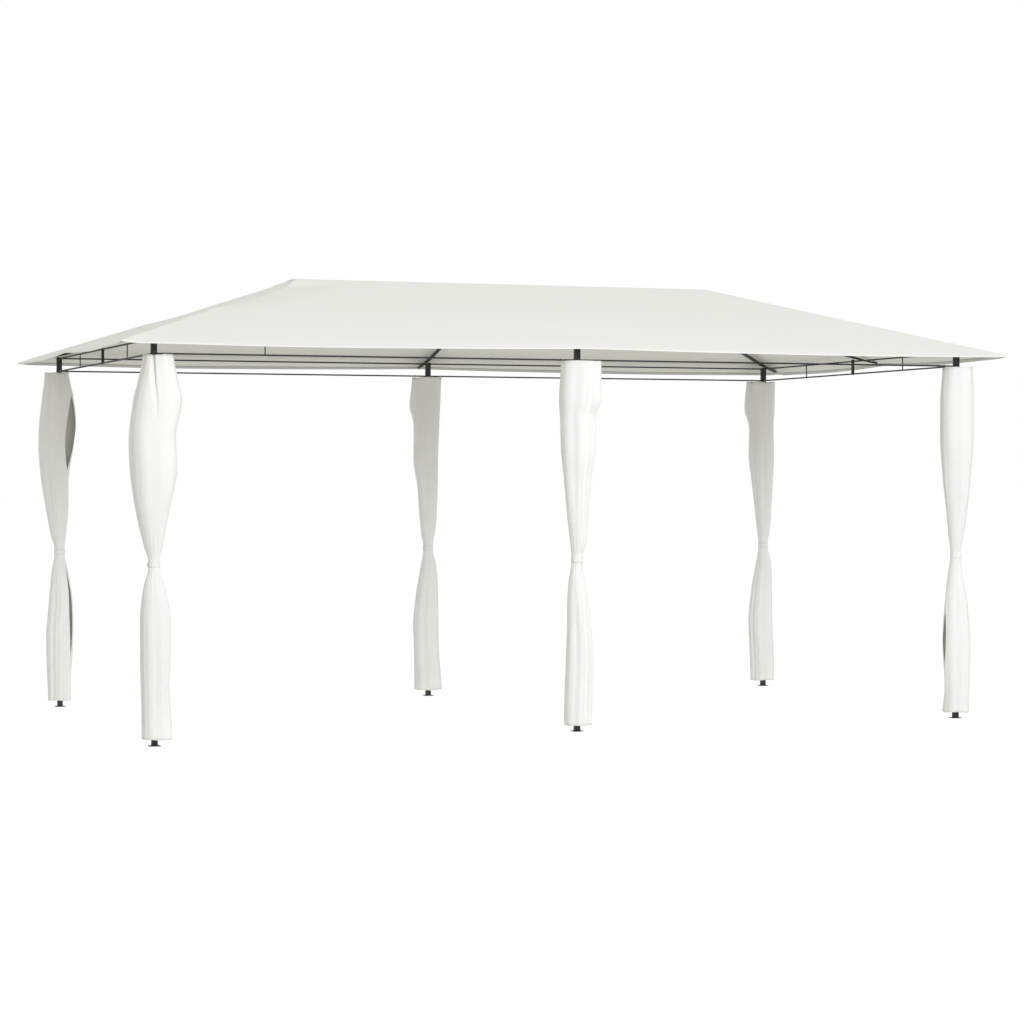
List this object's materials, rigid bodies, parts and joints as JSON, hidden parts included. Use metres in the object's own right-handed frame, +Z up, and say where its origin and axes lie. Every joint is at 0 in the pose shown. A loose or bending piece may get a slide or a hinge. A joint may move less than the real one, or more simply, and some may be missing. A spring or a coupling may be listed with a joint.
{
  "type": "garden gazebo",
  "caption": "Long garden gazebo: slim black steel posts and side rails carry a rafter frame, a cream hipped fabric roof and a tied curtain round each post.",
  "frame": {"origin": "on the ground under the middle of the roof", "axes": "+X along the long side, to the right seen from the open front; +Y from the front to the back; +Z up"},
  "size_m": [6, 3.476, 2.952],
  "materials": {
    "frame_steel": "satin black powder coat",
    "roof_fabric": "off-white coated polyester, matt",
    "curtain_fabric": "off-white light polyester, matt",
    "tie_fabric": "off-white hemmed polyester band, matt"
  },
  "bodies": {
    "root": {"base_plate_front_left": "frame_steel", "base_plate_front_middle": "frame_steel", "base_plate_front_right": "frame_steel", "base_plate_back_left": "frame_steel", "base_plate_back_middle": "frame_steel", "base_plate_back_right": "frame_steel", "post_front_left": "frame_steel", "post_front_middle": "frame_steel", "post_front_right": "frame_steel", "post_back_left": "frame_steel", "post_back_middle": "frame_steel", "post_back_right": "frame_steel", "front_left_truss": "frame_steel", "back_left_truss": "frame_steel", "front_right_lower_rail": "frame_steel", "front_right_upper_rail": "frame_steel", "back_right_lower_rail": "frame_steel", "back_right_upper_rail": "frame_steel", "left_end_truss": "frame_steel", "right_end_truss": "frame_steel", "ridge_pole": "frame_steel", "hip_rafter_front_left": "frame_steel", "hip_rafter_front_right": "frame_steel", "hip_rafter_back_left": "frame_steel", "hip_rafter_back_right": "frame_steel", "middle_rafter_front": "frame_steel", "middle_rafter_back": "frame_steel", "end_rafter_left": "frame_steel", "end_rafter_right": "frame_steel", "canopy_front_slope": "roof_fabric", "canopy_back_slope": "roof_fabric", "canopy_left_slope": "roof_fabric", "canopy_right_slope": "roof_fabric", "canopy_crest": "roof_fabric", "curtain_front_left": "curtain_fabric", "curtain_front_middle": "curtain_fabric", "curtain_front_right": "curtain_fabric", "curtain_back_left": "curtain_fabric", "curtain_back_middle": "curtain_fabric", "curtain_back_right": "curtain_fabric", "curtain_tie_front_left": "tie_fabric", "curtain_tie_front_middle": "tie_fabric", "curtain_tie_front_right": "tie_fabric", "curtain_tie_back_left": "tie_fabric", "curtain_tie_back_middle": "tie_fabric", "curtain_tie_back_right": "tie_fabric"}
  },
  "joints": []
}
